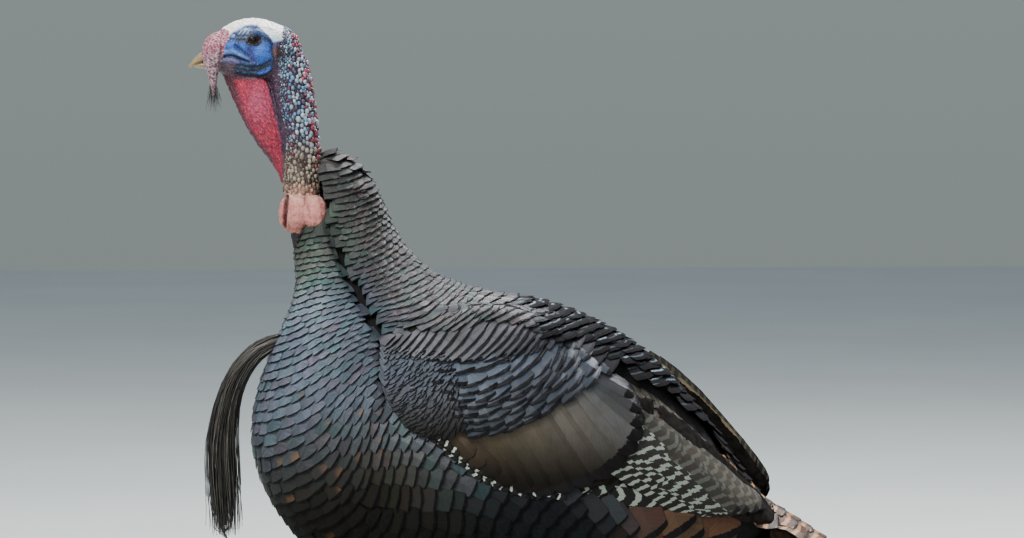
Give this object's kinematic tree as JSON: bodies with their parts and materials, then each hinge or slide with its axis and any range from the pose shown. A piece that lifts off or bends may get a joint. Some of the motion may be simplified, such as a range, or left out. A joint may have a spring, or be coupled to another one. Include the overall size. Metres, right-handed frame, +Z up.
{
  "type": "wild turkey",
  "caption": "Life-size still model of a male wild turkey standing alert, with folded wings, a hanging breast beard and bare wattled neck.",
  "frame": {"origin": "on the floor, under the middle of the bird's box", "axes": "+X the bird's left, +Y from the bill towards the tail, +Z up from the floor"},
  "size_m": [0.2952, 0.9588, 0.9036],
  "materials": {
    "skin": "bare wrinkled skin of the head and neck: blue face, red throat, pale pink lobes",
    "feathers": "overlapping vane feathers: dark with a bronze, green and blue-grey sheen, black edges, barred on wing and tail",
    "bristle": "coarse black hair-like bristles",
    "scales": "pinkish red horny leg scales",
    "horn": "smooth horn, pale on the bill and dark on the claws and spurs",
    "eye": "wet dark brown eye"
  },
  "bodies": {
    "root": {"head": "skin", "neck_bare": "skin", "dewlap": "skin", "snood": "skin", "caruncle_left": "skin", "caruncle_left_rear": "skin", "caruncle_right": "skin", "caruncle_front": "skin", "neck_plumed": "feathers", "trunk": "feathers", "wing_left_coverts": "feathers", "wing_left_flight": "feathers", "wing_right_coverts": "feathers", "wing_right_flight": "feathers", "tail": "feathers", "tail_coverts_upper": "feathers", "tail_coverts_under": "feathers", "thigh_left": "feathers", "thigh_right": "feathers", "beard": "bristle", "shank_left": "scales", "shank_right": "scales", "foot_left": "scales", "foot_right": "scales", "bill_upper": "horn", "bill_lower": "horn", "claw_left_inner": "horn", "claw_left_middle": "horn", "claw_left_outer": "horn", "claw_left_hind": "horn", "claw_right_inner": "horn", "claw_right_middle": "horn", "claw_right_outer": "horn", "claw_right_hind": "horn", "spur_left": "horn", "spur_right": "horn", "eye_left": "eye", "eye_right": "eye"}
  },
  "joints": []
}
